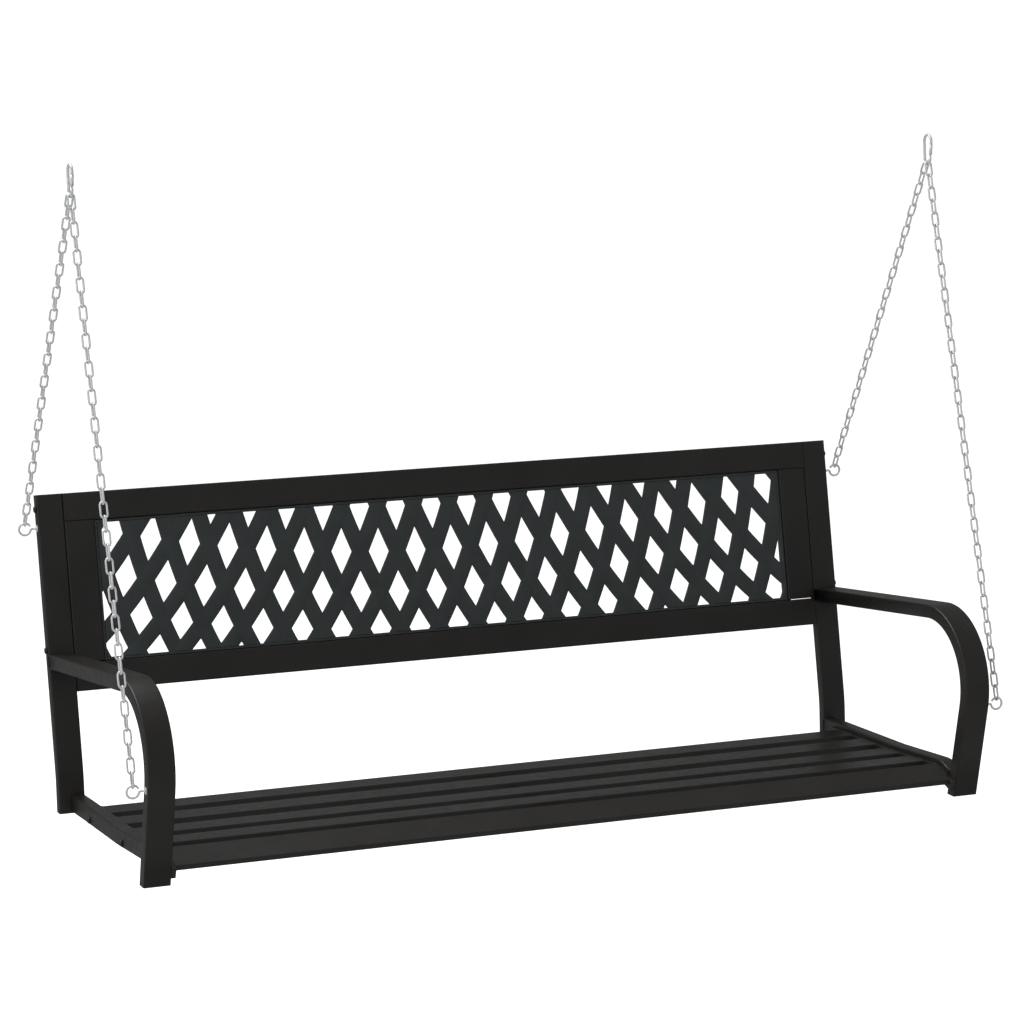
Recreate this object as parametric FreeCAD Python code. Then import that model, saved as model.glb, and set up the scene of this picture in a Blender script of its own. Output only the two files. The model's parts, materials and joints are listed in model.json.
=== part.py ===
"""Porch swing: a steel bench with a plastic lattice back, hung on four chains from two snap hooks.

Millimetres. +X runs along the bench, +Y to its back, +Z up. The bench is laid out with its feet on
z = 0 and its leg ends near y = 0, and every piece is then moved so that the origin is the middle of
the line on which the two snap hooks hang.
"""
import FreeCAD
import Part
import math
import os

from FreeCAD import Vector

os.makedirs("parts", exist_ok=True)

# ---- driving sizes: bench -------------------------------------------------------------------
bench_length = 1550.0        # over the outer faces of the two side frames
post_foot_y = 521.0          # middle of the post at the floor
post_height = 548.0          # middle of the post's top end
post_width = 47.0            # along X
post_depth = 20.0            # front to back
post_foot_lean = 4.0         # degrees back from upright, below the bend
post_lean = 12.0             # degrees back from upright, above the bend
post_bend_height = 60.0
post_bend_radius = 300.0
arm_width = 47.0
arm_depth = 25.0
arm_height = 262.0           # middle of the armrest where it meets the post
arm_slope = 7.0              # degrees up towards the front
arm_bend_radius = 125.0
leg_foot_y = 25.0            # middle of the leg at the floor
leg_lean = 12.0
tube_wall = 1.2
tube_corner = 3.0
rail_width = 25.0            # side rail under the seat, along X
rail_depth = 30.0
rail_foot_gap = 0.4          # lowest point of the side rail above the floor line
rail_rear_y = 530.0
rail_knee = (455.0, 19.5)    # bends of the side rail's middle line: (y, z)
rail_mid = (235.0, 28.5)
rail_roll = (66.0, 41.5)
rail_front_slope = 18.0      # degrees down, ahead of the roll
rail_knee_radius = 180.0
rail_mid_radius = 500.0
rail_roll_radius = 60.0

# ---- driving sizes: back --------------------------------------------------------------------
back_rail_height = 50.0
back_rail_depth = 20.0
back_opening = 249.0         # between the two back rails
stile_width = 54.0
frame_gap = 0.6              # back frame to post
stile_gap = 1.2              # stile to bottom rail
end_plate = 2.0
lattice_depth = 8.0
lattice_recess = 3.5         # panel's face behind the front of the back rails
lattice_border = 5.5
lattice_fit = 0.3            # panel to frame, all round
lattice_pitch = 71.8         # diamond to diamond along the middle row
lattice_step = 78.0          # row to row at the middle row
lattice_growth = 7.9         # each step up is this much longer than the one below
lattice_strap = 28.5         # width of a strap
lattice_centre = 150.5       # middle diamond above the bottom rail
lattice_bow_radius = 2783.0  # the rows are arcs about a point this far above the middle row
lattice_corner = 1.5
lattice_hole_least = 6.0     # a clipped hole narrower than this is left solid
flange_width = 14.0
flange_depth = 2.5
screw_pitch = 290.0
screw_radius = 1.8
screw_head_radius = 4.0
screw_head_height = 2.2
screw_head_round = 1.3
screw_length = 9.0

# ---- driving sizes: seat --------------------------------------------------------------------
slat_width = 58.0
slat_depth = 10.0
slat_wall = 1.0
slat_corner = 2.0
slat_rows = (411.0, 319.0, 227.0, 135.0)
front_slat_y = 43.0
slat_drop = 8.0              # slat top under the side rail's top
end_bar = 8.0
end_bar_depth = 19.0
end_bar_front_y = 9.0
end_bar_rear = 30.0          # end bar behind the last slat
centre_bar = 5.0
centre_bar_depth = 15.0
centre_bar_front = 14.0      # centre bar's front end behind the middle of the front slat
bar_corner = 0.8
seat_bolt_rows = (400.0, 207.0)

# ---- driving sizes: fasteners ---------------------------------------------------------------
bolt_radius = 3.0
bolt_head_radius = 6.0
bolt_head_height = 3.6
bolt_head_round = 2.5
bolt_socket_radius = 1.8
bolt_socket_depth = 2.2
bolt_clearance = 0.3
seat_bolt_gap = 0.5          # bolt under the slats
seat_bolt_proud = 2.0        # bolt's end past the end bar
back_bolt_drop = 25.0        # upper back bolt below the post's top
back_bolt_rise = 26.0        # lower back bolt above the bottom rail
insert_radius = 4.5
insert_flange_radius = 6.5
insert_flange = 0.8
insert_length = 11.0
cap_flange = 2.0
cap_depth = 12.0
cap_fit = 0.15
cap_wall = 1.5

# ---- driving sizes: hanging gear ------------------------------------------------------------
link_wire = 3.5
link_inner_length = 23.25
link_inner_width = 8.0
front_links = 42
rear_links = 30
link_play = 0.1              # between links that move as one
joint_play = 0.3             # where one moving piece hangs in another
eye_outset = 22.0            # middle of an eye's ring outside the side frame
eye_wire = 4.0
eye_outer_radius = 12.5
eye_neck_radius = 2.6
eye_end_angle = 145.0        # where the open ring stops
eye_collar = 1.6             # width and height of the collar on the shank
eye_shank_gap = 1.0          # shank's end to the insert's end
eye_front_height = 170.0
eye_rear_height = 491.0
hook_wire = 5.0
hook_height = 58.0
hook_low_radius = 9.5        # middle line of the narrow end
hook_high_radius = 12.5      # middle line of the wide end
gate_low = 10.0              # gate pin above the middle of the narrow end
gate_high = 28.0             # nose above the middle of the narrow end
gate_radius = 3.0
gate_wall = 0.8
gate_gap = 0.4
gate_heel_gap = 0.3          # tongue's end to the gate's solid part
gate_plug = 1.5              # solid part of the gate above the tongue
pin_radius = 1.0
pin_play = 0.05
tongue_width = 2.0
tongue_radius = 2.3
tongue_root = 1.0            # the tongue's start inside the hook's wire
spring_wire = 0.5
spring_turns = 7

# ---- derived places -------------------------------------------------------------------------
half_length = bench_length / 2
post_x = half_length - post_width / 2
arm_x = half_length - arm_width / 2
rail_x = half_length - arm_width + rail_width / 2
chain_x = half_length + eye_outset
SIDES = (("left", -1), ("right", 1))


# ---- helpers --------------------------------------------------------------------------------
least_corner = 0.4           # no rounded corner is sharper than this
corner_room = 0.45           # share of a side that a rounded corner may take
slab_size = 1200.0           # larger than any side frame


def yz(y, z):
    return Vector(0, y, z)


def lean_direction(degrees):
    """Upward direction that leans back by the given angle."""
    return yz(math.sin(math.radians(degrees)), math.cos(math.radians(degrees)))


def rounded_path(corners, radii):
    """Wire through the corners, with each inner corner turned by a tangent arc."""
    edges = []
    start = corners[0]
    for before, corner, after, radius in zip(corners, corners[1:], corners[2:], radii):
        u = (before - corner).normalize()
        v = (after - corner).normalize()
        half = u.getAngle(v) / 2
        reach = radius / math.tan(half)
        middle = corner + (u + v).normalize() * (radius / math.sin(half) - radius)
        first, last = corner + u * reach, corner + v * reach
        if (first - start).Length > 1e-6:
            edges.append(Part.LineSegment(start, first).toShape())
        edges.append(Part.Arc(first, middle, last).toShape())
        start = last
    edges.append(Part.LineSegment(start, corners[-1]).toShape())
    return Part.Wire(edges)


def rounded_rectangle(centre, across, up, width, depth, corner):
    """Wire of a rectangle with rounded corners, centred on a point."""
    points = [centre + across * (sx * width / 2) + up * (sy * depth / 2)
              for sx, sy in ((-1, -1), (1, -1), (1, 1), (-1, 1))]
    return rounded_loop(points, corner)


def rounded_loop(points, corner):
    """Closed wire through the points, with its corners rounded."""
    edges = []
    arcs = []
    count = len(points)
    for i in range(count):
        here = points[i]
        u = points[i - 1] - here
        v = points[(i + 1) % count] - here
        room = min(u.Length, v.Length) * corner_room
        u.normalize()
        v.normalize()
        half = u.getAngle(v) / 2
        reach = min(corner / math.tan(half), room)
        radius = reach * math.tan(half)
        middle = here + (u + v).normalize() * (radius / math.sin(half) - radius)
        arcs.append((here + u * reach, middle, here + v * reach))
    for i in range(count):
        edges.append(Part.Arc(*arcs[i]).toShape())
        edges.append(Part.LineSegment(arcs[i][2], arcs[(i + 1) % count][0]).toShape())
    return Part.Wire(edges)


def swept_bar(path, width, depth, corner, offset=0.0):
    """Solid bar of rectangular section along a path in the YZ plane, offset from it upwards."""
    first = path.OrderedEdges[0]
    start = first.valueAt(first.FirstParameter)
    ahead = first.tangentAt(first.FirstParameter)
    if path.OrderedVertexes[0].Point.distanceToPoint(start) > 1e-6:
        start = first.valueAt(first.LastParameter)
        ahead = first.tangentAt(first.LastParameter) * -1
    across = Vector(1, 0, 0)
    up = across.cross(ahead)
    if up.z < 0 or (abs(up.z) < 0.5 and up.y < 0):
        up = up * -1
    profile = rounded_rectangle(start + up * offset, across, up, width, depth, corner)
    return path.makePipeShell([profile], True, False)


def tube_along(path, width, depth, wall, corner):
    """Hollow rectangular tube along a path in the YZ plane, open at both ends."""
    outside = swept_bar(path, width, depth, corner)
    inside = swept_bar(path, width - 2 * wall, depth - 2 * wall, max(corner - wall, least_corner))
    return outside.cut(inside)


def path_at(path, level, axis):
    """Point of a path where its y (axis 1) or z (axis 2) has the given value."""
    far = 4000.0
    if axis == 1:
        probe = Part.LineSegment(yz(level, -far), yz(level, far)).toShape()
    else:
        probe = Part.LineSegment(yz(-far, level), yz(far, level)).toShape()
    return path.distToShape(probe)[1][0][0]


def path_slope(path, y, span=8.0):
    """Angle of a path at y, in degrees, positive where it climbs towards the back."""
    low = path_at(path, y - span / 2, 1)
    high = path_at(path, y + span / 2, 1)
    return math.degrees(math.atan2(high.z - low.z, high.y - low.y))


def moved(shape, x=0.0, y=0.0, z=0.0):
    copy = shape.copy()
    copy.translate(Vector(x, y, z))
    return copy


def mirrored(shape):
    return shape.mirror(Vector(0, 0, 0), Vector(1, 0, 0))


def largest(shape):
    """The biggest solid of a cut, without the slivers beyond the piece that it was cut by."""
    return max(shape.Solids, key=lambda solid: solid.Volume)


def x_cylinder(radius, x_from, x_to, y, z):
    low, high = min(x_from, x_to), max(x_from, x_to)
    return Part.makeCylinder(radius, high - low, Vector(low, y, z), Vector(1, 0, 0))


def clipped(points, low, high):
    """Convex polygon of (x, s) points clipped to s between low and high."""
    for level, keep_above in ((low, True), (high, False)):
        kept = []
        for i, here in enumerate(points):
            before = points[i - 1]
            here_in = here[1] >= level if keep_above else here[1] <= level
            before_in = before[1] >= level if keep_above else before[1] <= level
            if here_in != before_in:
                share = (level - before[1]) / (here[1] - before[1])
                kept.append((before[0] + share * (here[0] - before[0]), level))
            if here_in:
                kept.append(here)
        points = kept
    return points


def clipped_box(points, x_limit, low, high):
    """Convex polygon clipped to a rectangle that is symmetric in x."""
    inside = clipped(points, low, high)
    turned = [(s, x) for x, s in inside]
    return [(x, s) for s, x in clipped(turned, -x_limit, x_limit)]


# ---- paths of the side frame ----------------------------------------------------------------
post_foot = yz(post_foot_y, 0)
post_knee = post_foot + lean_direction(post_foot_lean) * (
    post_bend_height / math.cos(math.radians(post_foot_lean)))
post_axis = lean_direction(post_lean)
post_top = post_knee + post_axis * (
    (post_height - post_knee.z) / math.cos(math.radians(post_lean)))
post_path = rounded_path([post_foot, post_knee, post_top], [post_bend_radius])
back_normal = yz(math.cos(math.radians(post_lean)), -math.sin(math.radians(post_lean)))

arm_start = path_at(post_path, arm_height, 2)
arm_axis = yz(-math.cos(math.radians(arm_slope)), math.sin(math.radians(arm_slope)))
leg_foot = yz(leg_foot_y, 0)
leg_axis = yz(-math.sin(math.radians(leg_lean)), math.cos(math.radians(leg_lean)))
# the corner where the leg's line and the armrest's line would meet
across_gap = arm_start - leg_foot
arm_reach = ((across_gap.y * leg_axis.z - across_gap.z * leg_axis.y)
             / (arm_axis.z * leg_axis.y - arm_axis.y * leg_axis.z))
arm_corner = arm_start + arm_axis * arm_reach
arm_path = rounded_path([leg_foot, arm_corner, arm_start], [arm_bend_radius])

front_fall = math.tan(math.radians(rail_front_slope))


def rail_line(front_y):
    """Middle line of the side rail, from a given y at its front to inside the post."""
    front = yz(front_y, rail_roll[1] - (rail_roll[0] - front_y) * front_fall)
    rear = yz(rail_rear_y, rail_depth / 2 + rail_foot_gap)
    return rounded_path([front, yz(*rail_roll), yz(*rail_mid), yz(*rail_knee), rear],
                        [rail_roll_radius, rail_mid_radius, rail_knee_radius])


rail_path = rail_line(leg_foot_y - 4.0)
seat_path = rail_line(end_bar_front_y)

# ---- hanging gear: where the hooks come ----------------------------------------------------
link_end_radius = (link_inner_width + link_wire) / 2
link_straight = link_inner_length - link_inner_width
eye_ring_radius = eye_outer_radius - eye_wire / 2
eye_front = path_at(arm_path, eye_front_height, 2)
eye_rear = path_at(post_path, eye_rear_height, 2)
hang_front = eye_front + yz(0, eye_ring_radius)
hang_rear = eye_rear + yz(0, eye_ring_radius)
first_end = (hook_low_radius - hook_wire / 2 - link_wire / 2 - joint_play) + link_end_radius


def last_end(links):
    """Distance from the hook's low centre to the middle of the last link's lower end."""
    steps = (link_inner_width - joint_play) + (link_inner_width - link_play) * (links - 2)
    return first_end + link_straight * links + steps


def hang_length(links):
    """Distance from the hook's low centre to the top of the eye's ring wire."""
    return last_end(links) + link_end_radius - (eye_wire + link_wire) / 2 - joint_play


# two circles about the eyes meet at the middle of the hook's narrow end
span = hang_rear - hang_front
front_length, rear_length = hang_length(front_links), hang_length(rear_links)
along = (front_length ** 2 - rear_length ** 2 + span.Length ** 2) / (2 * span.Length)
rise = math.sqrt(front_length ** 2 - along ** 2)
along_axis = yz(span.y / span.Length, span.z / span.Length)
hook_low = hang_front + along_axis * along + yz(-along_axis.z, along_axis.y) * rise
hook_low_depth = hook_low_radius + hook_wire / 2
hook_top = hook_low.z - hook_low_depth + hook_height
origin = yz(hook_low.y, hook_top - hook_wire)
high_centre = yz(hook_low.y, hook_top - hook_wire / 2 - hook_high_radius)
front_axis = (hang_front - hook_low).normalize()
rear_axis = (hang_rear - hook_low).normalize()


def export(name, shape):
    placed = shape.copy()
    placed.translate(origin * -1)
    placed.exportStep("parts/" + name + ".step")


# ---- side frames ----------------------------------------------------------------------------
def end_cap(at, inward, width, depth):
    """Plastic cap: a flange the size of the tube and a hollow plug that fits inside it."""
    across = Vector(1, 0, 0)
    up = across.cross(inward)
    edge = rounded_rectangle(at, across, up, width, depth, tube_corner)
    flange = Part.Face(edge).extrude(inward * cap_flange)
    slack = 2 * (tube_wall + cap_fit)
    neck = rounded_rectangle(at + inward * cap_flange, across, up, width - slack,
                             depth - slack, tube_corner - tube_wall)
    plug = Part.Face(neck).extrude(inward * cap_depth)
    hollow_edge = rounded_rectangle(at + inward * cap_flange, across, up,
                                    width - slack - 2 * cap_wall, depth - slack - 2 * cap_wall,
                                    least_corner)
    hollow = Part.Face(hollow_edge).extrude(inward * cap_depth)
    return flange.fuse(plug.cut(hollow)).removeSplitter()


def floor_slab(bottom, top):
    """Level slab under the side frames, between two heights."""
    return Part.makeBox(slab_size, slab_size, top - bottom,
                        Vector(-slab_size / 2, -slab_size / 4, bottom))


# the tubes run past the floor here, and are cut level one cap flange above it
post_corners = [post_foot - lean_direction(post_foot_lean) * post_depth, post_knee,
                post_top - post_axis * cap_flange]
arm_corners = [leg_foot - leg_axis * arm_depth, arm_corner, arm_start]
post_line = rounded_path(post_corners, [post_bend_radius])
arm_line = rounded_path(arm_corners, [arm_bend_radius])
under_floor = floor_slab(-slab_size / 4, cap_flange)
post_solid = moved(swept_bar(post_path, post_width, post_depth, tube_corner), post_x)
arm_solid = moved(swept_bar(arm_line, arm_width, arm_depth, tube_corner), arm_x)
post_tube = moved(tube_along(post_line, post_width, post_depth, tube_wall, tube_corner), post_x)
post_tube = post_tube.cut(moved(under_floor, post_x))
arm_tube = moved(tube_along(arm_line, arm_width, arm_depth, tube_wall, tube_corner), arm_x)
arm_tube = largest(arm_tube.cut(moved(under_floor, arm_x)).cut(post_solid))
rail_tube = moved(tube_along(rail_path, rail_width, rail_depth, tube_wall, tube_corner), rail_x)
rail_tube = largest(rail_tube.cut(post_solid).cut(arm_solid))


def foot_cap(line, width, depth):
    """Cap in the level-cut lower end of a leaning tube."""
    slack = 2 * (tube_wall + cap_fit)
    outside = swept_bar(line, width, depth, tube_corner)
    neck = swept_bar(line, width - slack, depth - slack, tube_corner - tube_wall)
    return outside.common(floor_slab(0, cap_flange)).fuse(
        neck.common(floor_slab(cap_flange, cap_flange + cap_depth))).removeSplitter()


post_foot_cap = moved(foot_cap(post_line, post_width, post_depth), post_x)
leg_foot_cap = moved(foot_cap(arm_line, arm_width, arm_depth), arm_x)
post_top_cap = moved(end_cap(post_top, post_axis * -1, post_width, post_depth), post_x)


# ---- back frame -----------------------------------------------------------------------------
def on_back(drop, forward=0.0):
    """Point of the back's middle plane, a distance down from the posts' top."""
    return post_top - post_axis * drop - back_normal * forward


def back_bar(x_from, x_to, drop_from, drop_to):
    """Hollow bar in the back frame that runs along X."""
    middle = on_back((drop_from + drop_to) / 2)
    height = drop_to - drop_from
    start = Vector(x_from, middle.y, middle.z)
    run = Vector(x_to - x_from, 0, 0)
    outer = rounded_rectangle(start, post_axis, back_normal, height, back_rail_depth, tube_corner)
    inner = rounded_rectangle(start, post_axis, back_normal, height - 2 * tube_wall,
                              back_rail_depth - 2 * tube_wall, tube_corner - tube_wall)
    return Part.Face(outer).extrude(run).cut(Part.Face(inner).extrude(run))


frame_half = half_length - post_width - frame_gap
stile_x = frame_half - stile_width / 2
top_rail_low = back_rail_height
bottom_rail_high = back_rail_height + back_opening
bottom_rail_low = bottom_rail_high + back_rail_height
top_rail = back_bar(-frame_half + end_plate, frame_half - end_plate, 0, top_rail_low)
bottom_rail = back_bar(-frame_half + end_plate, frame_half - end_plate,
                       bottom_rail_high, bottom_rail_low)


def stile(side):
    """Upright of the back frame: a hollow bar up the lean, welded under the top rail."""
    foot = on_back(bottom_rail_high - stile_gap)
    start = Vector(side * stile_x, foot.y, foot.z)
    run = post_axis * (back_opening - stile_gap)
    across = Vector(1, 0, 0)
    outer = rounded_rectangle(start, across, back_normal, stile_width, back_rail_depth,
                              tube_corner)
    inner = rounded_rectangle(start, across, back_normal, stile_width - 2 * tube_wall,
                              back_rail_depth - 2 * tube_wall, tube_corner - tube_wall)
    return Part.Face(outer).extrude(run).cut(Part.Face(inner).extrude(run))


def rail_end_plate(side, drop):
    """Plate welded on the open end of a back rail."""
    middle = on_back(drop)
    start = Vector(side * (frame_half - end_plate), middle.y, middle.z)
    edge = rounded_rectangle(start, post_axis, back_normal, back_rail_height, back_rail_depth,
                             tube_corner)
    return Part.Face(edge).extrude(Vector(side * end_plate, 0, 0))


top_plate_drop = back_rail_height / 2
bottom_plate_drop = bottom_rail_high + back_rail_height / 2

# ---- lattice panel --------------------------------------------------------------------------
panel_half = frame_half - stile_width - lattice_fit
panel_low = lattice_fit
panel_high = back_opening - lattice_fit
half_pitch = lattice_pitch / 2
cell_reach = half_pitch * lattice_step / math.hypot(half_pitch, lattice_step)
hole_share = 1 - lattice_strap / 2 / cell_reach
panel_front = back_rail_depth / 2 - lattice_recess


def lattice_point(column, row):
    """(x, s) of a place in the fan of half columns and rows, counted from its middle diamond."""
    angle = column * half_pitch / lattice_bow_radius
    rise = lattice_step * row + lattice_growth / 2 * row ** 2
    radius = lattice_bow_radius - rise
    return radius * math.sin(angle), lattice_centre + lattice_bow_radius - radius * math.cos(angle)


def panel_point(x, s):
    """Point of the panel's front plane: x along the bench, s up from the bottom rail."""
    place = on_back(bottom_rail_high - s, panel_front)
    return Vector(x, place.y, place.z)


def lattice_holes():
    """Clipped diamonds, as lists of (x, s), row by row and column by column."""
    holes = []
    columns = int(panel_half / half_pitch) + 2
    rows = int(back_opening / lattice_step) + 1
    for column in range(-columns, columns + 1):
        for row in range(-rows, rows + 1):
            if (column + row) % 2:
                continue
            corners = [lattice_point(column - hole_share, row),
                       lattice_point(column, row - hole_share),
                       lattice_point(column + hole_share, row),
                       lattice_point(column, row + hole_share)]
            hole = clipped_box(corners, panel_half - lattice_border,
                               panel_low + lattice_border, panel_high - lattice_border)
            if len(hole) < 3:
                continue
            size_x = max(p[0] for p in hole) - min(p[0] for p in hole)
            size_s = max(p[1] for p in hole) - min(p[1] for p in hole)
            if min(size_x, size_s) > lattice_hole_least:
                holes.append(hole)
    return holes


def tidy_loop(points):
    """Polygon without the corners that a clip has left closer than a millimetre."""
    kept = []
    for i, here in enumerate(points):
        before = points[i - 1]
        if math.hypot(here[0] - before[0], here[1] - before[1]) > 1.0:
            kept.append(here)
    return kept


def panel_frame(x_half, low, high, depth_from, depth):
    """Slab of the panel's plane between given limits, starting behind its front face."""
    corners = [panel_point(x, s) for x, s in
               ((-x_half, low), (x_half, low), (x_half, high), (-x_half, high))]
    slab = Part.Face(Part.makePolygon(corners + corners[:1])).extrude(back_normal * depth)
    slab.translate(back_normal * depth_from)
    return slab


hole_wires = []
for hole in lattice_holes():
    loop = tidy_loop(hole)
    hole_wires.append(rounded_loop([panel_point(x, s) for x, s in loop], lattice_corner))
panel_corners = [panel_point(x, s) for x, s in
                 ((-panel_half, panel_low), (panel_half, panel_low),
                  (panel_half, panel_high), (-panel_half, panel_high))]
panel_face = Part.Face([Part.makePolygon(panel_corners + panel_corners[:1])] + hole_wires)
panel_face.validate()
rear_face = back_rail_depth / 2 + panel_front
lattice = panel_face.extrude(back_normal * lattice_depth)
# a return behind the border reaches back to a flange that lies on the frame's rear face
return_wall = panel_frame(panel_half, panel_low, panel_high, lattice_depth,
                          rear_face - lattice_depth + flange_depth)
return_wall = return_wall.cut(panel_frame(panel_half - lattice_border / 2,
                                          panel_low + lattice_border / 2,
                                          panel_high - lattice_border / 2, 0, 3 * rear_face))
flange = panel_frame(panel_half + flange_width, panel_low - flange_width,
                     panel_high + flange_width, rear_face, flange_depth)
flange = flange.cut(panel_frame(panel_half - lattice_border / 2, panel_low + lattice_border / 2,
                                panel_high - lattice_border / 2, 0, 3 * rear_face))
lattice = lattice.fuse([return_wall, flange]).removeSplitter()

# ---- panel screws ---------------------------------------------------------------------------
screw_count = 2 * int((panel_half - flange_width) / screw_pitch) + 1
screws = []
screw_holes = []
for i in range(screw_count):
    x = (i - (screw_count - 1) / 2) * screw_pitch
    for s in (panel_low - flange_width / 2, panel_high + flange_width / 2):
        seat = panel_point(x, s) + back_normal * (rear_face + flange_depth)
        head = Part.makeCylinder(screw_head_radius, screw_head_height, seat, back_normal)
        head = head.makeFillet(screw_head_round, [head.Edges[0]])
        shaft = Part.makeCylinder(screw_radius, screw_length, seat, back_normal * -1)
        screws.append(head.fuse(shaft).removeSplitter())
        screw_holes.append(Part.makeCylinder(screw_radius, 3 * screw_length,
                                             seat + back_normal * screw_length,
                                             back_normal * -1))
lattice = lattice.cut(screw_holes)
wall_holes = [hole.common(panel_frame(half_length, -back_rail_height,
                                      back_opening + back_rail_height,
                                      rear_face - tube_wall * 2, tube_wall * 3))
              for hole in screw_holes]
top_rail = top_rail.cut(wall_holes)
bottom_rail = bottom_rail.cut(wall_holes)

# ---- seat -----------------------------------------------------------------------------------
slat_half = half_length - arm_width - end_bar
slat_offset = rail_depth / 2 - slat_drop - slat_depth / 2
end_bar_offset = rail_depth / 2 - slat_drop - end_bar_depth / 2


def slat_solid(y, wall=0.0):
    """Flat bar across the seat along the side rails' line at y, thinner by a wall all round."""
    at = path_at(seat_path, y, 1)
    angle = math.radians(path_slope(seat_path, y))
    forward = yz(math.cos(angle), math.sin(angle))
    up = yz(-math.sin(angle), math.cos(angle))
    start = Vector(-slat_half, at.y, at.z) + up * slat_offset
    section = rounded_rectangle(start, forward, up, slat_width - 2 * wall,
                                slat_depth - 2 * wall, slat_corner - wall)
    return Part.Face(section).extrude(Vector(2 * slat_half, 0, 0))


def slat(y):
    return slat_solid(y).cut(slat_solid(y, slat_wall))


slats = [slat(y) for y in slat_rows]
bar_rear_y = slat_rows[0] + slat_width / 2


def seat_bar(path, width, depth, offset, rear_y, x):
    """Flat bar on edge along the side rails' line, ending at rear_y."""
    bar = moved(swept_bar(path, width, depth, bar_corner, offset), x)
    behind = Part.makeBox(slab_size, slab_size, slab_size,
                          Vector(-slab_size / 4, rear_y, -slab_size / 2))
    return bar.cut(behind)


end_bar_x = half_length - arm_width - end_bar / 2
seat_end_bar = seat_bar(seat_path, end_bar, end_bar_depth, end_bar_offset,
                        bar_rear_y + end_bar_rear, end_bar_x)
centre_offset = slat_offset - slat_depth / 2 - centre_bar_depth / 2
seat_centre_bar = seat_bar(rail_line(front_slat_y + centre_bar_front), centre_bar,
                           centre_bar_depth, centre_offset, bar_rear_y, 0)
front_slat = slat(front_slat_y)
slat_space = [slat_solid(y) for y in slat_rows + (front_slat_y,)]
seat_centre_bar = seat_centre_bar.cut(slat_space)


# ---- bolts ----------------------------------------------------------------------------------
def side_bolt(side, x_outer, x_inner, y, z):
    """Button-head bolt that goes in from the outside along X."""
    head = x_cylinder(bolt_head_radius, side * x_outer, side * (x_outer + bolt_head_height), y, z)
    rim = max(head.Edges, key=lambda e: side * e.CenterOfMass.x)
    head = head.makeFillet(bolt_head_round, [rim])
    socket = x_cylinder(bolt_socket_radius, side * (x_outer + bolt_head_height),
                        side * (x_outer + bolt_head_height - bolt_socket_depth), y, z)
    shaft = x_cylinder(bolt_radius, side * x_outer, side * x_inner, y, z)
    return head.cut(socket).fuse(shaft).removeSplitter()


upper_bolt = on_back(back_bolt_drop)
lower_bolt = on_back(bottom_rail_high - back_bolt_rise)
back_bolt_places = (upper_bolt, lower_bolt)
bolt_end = half_length - post_width - insert_length
seat_bolt_places = []
for y in seat_bolt_rows:
    at = path_at(seat_path, y, 1)
    seat_bolt_places.append(at + yz(0, slat_offset - slat_depth / 2 - bolt_radius
                                    - seat_bolt_gap))
seat_bolt_outer = half_length - arm_width + rail_width
seat_bolt_inner = half_length - arm_width - end_bar - seat_bolt_proud


# ---- eye hooks ------------------------------------------------------------------------------
def eye_hook(side, at):
    """Open ring in the XZ plane, bent from the wire of its own threaded shank."""
    neck = eye_neck_radius
    reach = math.sqrt((eye_ring_radius + neck) ** 2 - neck ** 2)
    turn = math.atan2(neck, reach)

    def place(x, z):
        return Vector(side * (chain_x + x), at.y, at.z + z)

    def neck_point(angle):
        return place(-reach + neck * math.cos(angle), -neck + neck * math.sin(angle))

    def ring_point(degrees):
        angle = math.radians(degrees)
        return place(eye_ring_radius * math.cos(angle), eye_ring_radius * math.sin(angle))

    ring_start = 180 + math.degrees(turn)
    ring_stop = 360 + eye_end_angle
    middle = (ring_start + ring_stop) / 2
    shank_end = place(-eye_outset - insert_length + eye_shank_gap, 0)
    edges = [
        Part.LineSegment(shank_end, neck_point(math.pi / 2)).toShape(),
        Part.Arc(neck_point(math.pi / 2), neck_point((math.pi / 2 + turn) / 2),
                 neck_point(turn)).toShape(),
        Part.Arc(ring_point(ring_start), ring_point((ring_start + middle) / 2),
                 ring_point(middle)).toShape(),
        Part.Arc(ring_point(middle), ring_point((ring_stop + middle) / 2),
                 ring_point(ring_stop)).toShape(),
    ]
    path = Part.Wire(edges)
    circle = Part.Wire(Part.makeCircle(eye_wire / 2, shank_end, Vector(1, 0, 0)))
    ring = path.makePipeShell([circle], True, False)
    nub = Part.makeSphere(eye_wire / 2, ring_point(ring_stop))
    collar_from = side * (half_length + insert_flange)
    collar = x_cylinder(eye_wire / 2 + eye_collar, collar_from,
                        collar_from + side * eye_collar, at.y, at.z)
    return ring.fuse([nub, collar]).removeSplitter()


def eye_insert(side, at):
    """Threaded insert set in the tube's wall, its flange on the outer face."""
    flange_piece = x_cylinder(insert_flange_radius, side * half_length,
                              side * (half_length + insert_flange), at.y, at.z)
    body = x_cylinder(insert_radius, side * half_length, side * (half_length - insert_length),
                      at.y, at.z)
    bore = x_cylinder(eye_wire / 2, side * (half_length + 2 * insert_flange),
                      side * (half_length - 2 * insert_length), at.y, at.z)
    return flange_piece.fuse(body).cut(bore).removeSplitter()


# ---- chains ---------------------------------------------------------------------------------
def chain_link():
    """One link about the origin, its long axis on Z and its width on X."""
    half_straight = link_straight / 2
    wire = link_wire / 2
    pieces = []
    for side in (-1, 1):
        pieces.append(Part.makeCylinder(wire, link_straight,
                                        Vector(side * link_end_radius, 0, -half_straight)))
        leg = Vector(link_end_radius, 0, side * half_straight)
        section = Part.Face(Part.Wire(Part.makeCircle(wire, leg, Vector(0, 0, 1))))
        pieces.append(section.revolve(Vector(0, 0, side * half_straight), Vector(0, 1, 0),
                                      -180 * side))
    return pieces[0].fuse(pieces[1:]).removeSplitter()


link_shape = chain_link()


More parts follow.
